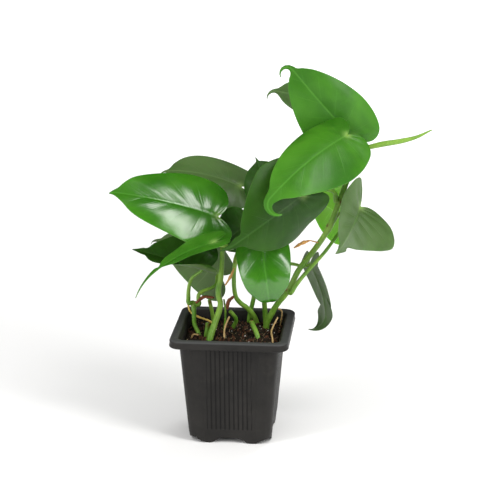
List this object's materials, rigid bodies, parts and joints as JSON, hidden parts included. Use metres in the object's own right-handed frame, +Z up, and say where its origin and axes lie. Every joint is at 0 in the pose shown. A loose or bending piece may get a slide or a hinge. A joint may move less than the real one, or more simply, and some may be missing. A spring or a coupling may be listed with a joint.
{
  "type": "potted philodendron",
  "caption": "Heartleaf philodendron in a square ribbed nursery pot: vines rising from dark soil, with arching petioles, drip-tipped heart-shaped leaves and a new leaf spear.",
  "frame": {"origin": "centre of the pot's underside, on the pad that rests on the table", "axes": "+Z up out of the pot, +X and +Y square to the pot's walls, -Y the side that the leaves turn to"},
  "size_m": [0.2383, 0.129, 0.282],
  "materials": {
    "pot_plastic": "charcoal, faintly satin, moulded ribs",
    "potting_soil": "loose dark peat with bark chips and perlite",
    "leaf": "glossy living leaf, bright green, paler veins and edge",
    "dark_leaf": "glossy living leaf, deep green, grey-green beneath",
    "young_leaf": "soft young leaf, yellow-green",
    "stem": "smooth living stem, light green with brown nodes",
    "dry_sheath": "withered sheath, red-brown, papery",
    "tan_sheath": "dry sheath, tan, papery",
    "root": "dry aerial root, tan, slightly rough"
  },
  "bodies": {
    "root": {"blade_top": "leaf", "blade_front": "leaf", "blade_centre": "dark_leaf", "blade_left": "leaf", "blade_slim": "leaf", "blade_back_left": "dark_leaf", "blade_low_left": "dark_leaf", "blade_low_back": "dark_leaf", "blade_mid_back": "dark_leaf", "blade_high_back": "dark_leaf", "blade_glossy": "leaf", "blade_backlit": "young_leaf", "blade_right": "dark_leaf", "blade_low_right": "dark_leaf", "blade_behind_top": "dark_leaf", "vine_right": "stem", "vine_left": "stem", "vine_middle": "stem", "vine_back": "stem", "vine_rear": "stem", "vine_short": "stem", "vine_far_left": "stem", "petiole_top": "stem", "petiole_front": "stem", "petiole_centre": "stem", "petiole_left": "stem", "petiole_slim": "stem", "petiole_back_left": "stem", "petiole_low_left": "stem", "petiole_low_back": "stem", "petiole_mid_back": "stem", "petiole_high_back": "stem", "petiole_glossy": "stem", "petiole_backlit": "stem", "petiole_right": "stem", "petiole_low_right": "stem", "petiole_behind_top": "stem", "new_leaf": "stem", "stub_front": "stem", "stub_fallen": "stem", "stub_back": "stem", "sheath_node": "dry_sheath", "sheath_withered": "dry_sheath", "sheath_tan": "tan_sheath", "sheath_right": "tan_sheath", "root_front": "root", "root_yellow": "root", "root_right": "root", "root_right_front": "root", "root_thin": "stem", "root_left": "root", "soil": "potting_soil", "pot": "pot_plastic"}
  },
  "joints": []
}
